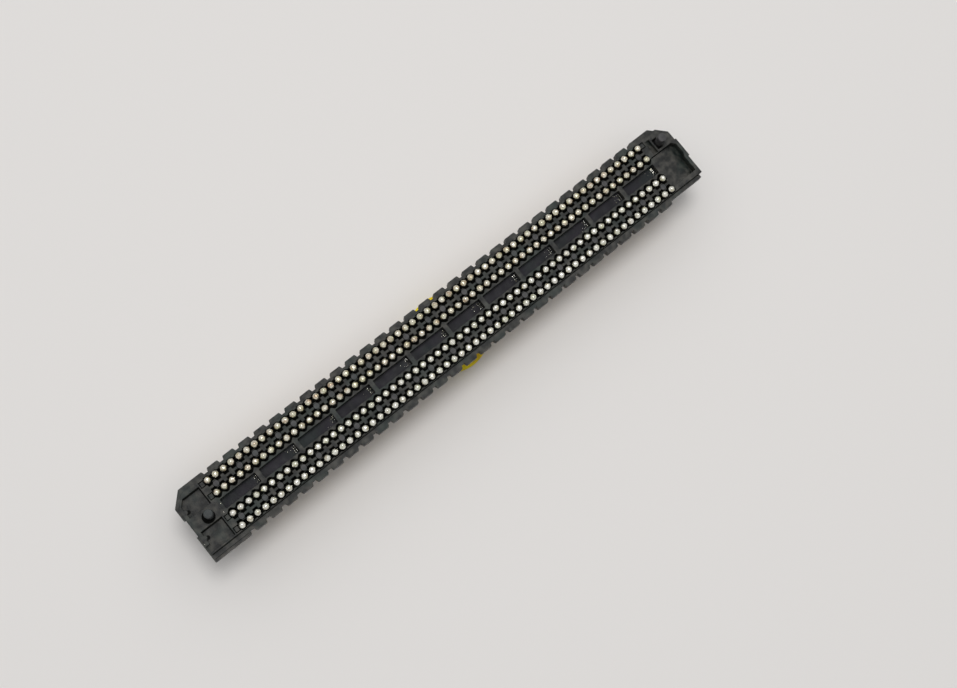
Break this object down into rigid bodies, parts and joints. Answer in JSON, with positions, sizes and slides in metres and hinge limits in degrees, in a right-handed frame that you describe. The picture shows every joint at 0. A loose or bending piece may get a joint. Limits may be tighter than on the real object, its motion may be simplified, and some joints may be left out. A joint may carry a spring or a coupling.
{
  "type": "board to board connector",
  "caption": "Slim surface-mount board to board plug: black moulded housing, rows of contacts on two tongues, solder balls and a pick-up pad.",
  "frame": {"origin": "under the middle of the part, level with the tips of the end guides", "axes": "+X along the rows towards the end with the sloped pocket, +Y towards the long side with two cut corners, +Z out of the ball side"},
  "size_m": [0.043, 0.0056, 0.0047],
  "materials": {
    "housing": "moulded black plastic, fine grain",
    "contact": "gold plate over copper alloy, stained in places",
    "solder": "tin alloy, dull silver",
    "pad": "amber film"
  },
  "bodies": {
    "root": {"housing": "housing", "contact_a01": "contact", "contact_a02": "contact", "contact_a03": "contact", "contact_a04": "contact", "contact_a05": "contact", "contact_b01": "contact", "contact_b02": "contact", "contact_b03": "contact", "contact_b04": "contact", "contact_b05": "contact", "contact_c01": "contact", "contact_c02": "contact", "contact_c03": "contact", "contact_c04": "contact", "contact_c05": "contact", "contact_d01": "contact", "contact_d02": "contact", "contact_d03": "contact", "contact_d04": "contact", "contact_d05": "contact", "solder_ball_a01": "solder", "solder_ball_a02": "solder", "solder_ball_a03": "solder", "solder_ball_a04": "solder", "solder_ball_a05": "solder", "solder_ball_b01": "solder", "solder_ball_b02": "solder", "solder_ball_b03": "solder", "solder_ball_b04": "solder", "solder_ball_b05": "solder", "solder_ball_c01": "solder", "solder_ball_c02": "solder", "solder_ball_c03": "solder", "solder_ball_c04": "solder", "solder_ball_c05": "solder", "solder_ball_d01": "solder", "solder_ball_d02": "solder", "solder_ball_d03": "solder", "solder_ball_d04": "solder", "solder_ball_d05": "solder", "pickup_pad": "pad"}
  },
  "joints": []
}
